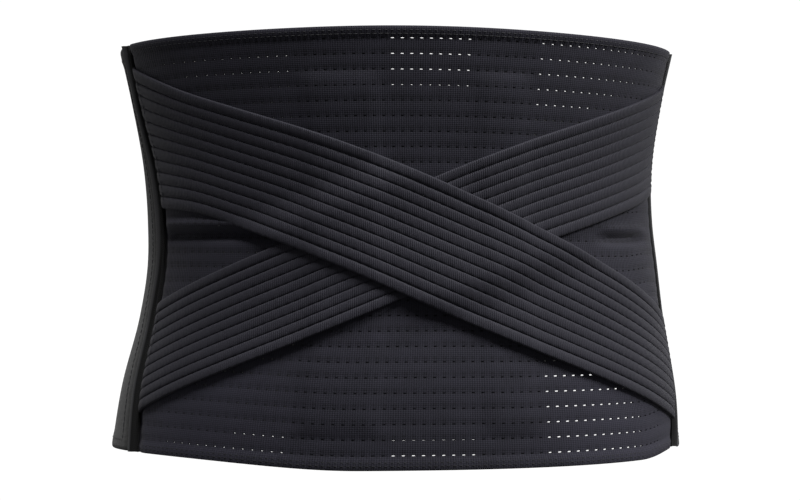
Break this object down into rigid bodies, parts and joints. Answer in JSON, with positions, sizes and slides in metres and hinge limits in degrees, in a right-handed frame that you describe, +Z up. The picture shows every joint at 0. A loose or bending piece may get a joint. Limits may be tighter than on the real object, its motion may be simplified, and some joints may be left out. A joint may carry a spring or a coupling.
{
  "type": "lumbosacral brace",
  "caption": "Elastic lower-back brace closed into a ring: a perforated back panel under two crossed ribbed straps, with plain wings that close at the front.",
  "frame": {"origin": "under the middle of the brace, on the surface that its lower hem stands on", "axes": "+Z up, -Y towards the back panel with the crossed straps, +X towards the picture's right, which is the wearer's right side"},
  "size_m": [0.3394, 0.2268, 0.24],
  "materials": {
    "perforated_elastic": "black knitted elastic with rows of pinholes",
    "ribbed_elastic": "black ribbed elastic webbing",
    "seam_piping": "black rolled piping",
    "brushed_knit": "black brushed loop knit",
    "hook_tape": "black hook tape",
    "lining": "black plain lining"
  },
  "bodies": {
    "root": {"back_panel": "perforated_elastic", "cross_strap_over": "ribbed_elastic", "cross_strap_under": "ribbed_elastic", "left_seam_piping": "seam_piping", "right_seam_piping": "seam_piping", "left_wing": "brushed_knit", "right_wing": "brushed_knit", "closure_patch": "hook_tape", "left_stay_pocket": "lining", "right_stay_pocket": "lining", "lumbar_pad": "lining"}
  },
  "joints": []
}
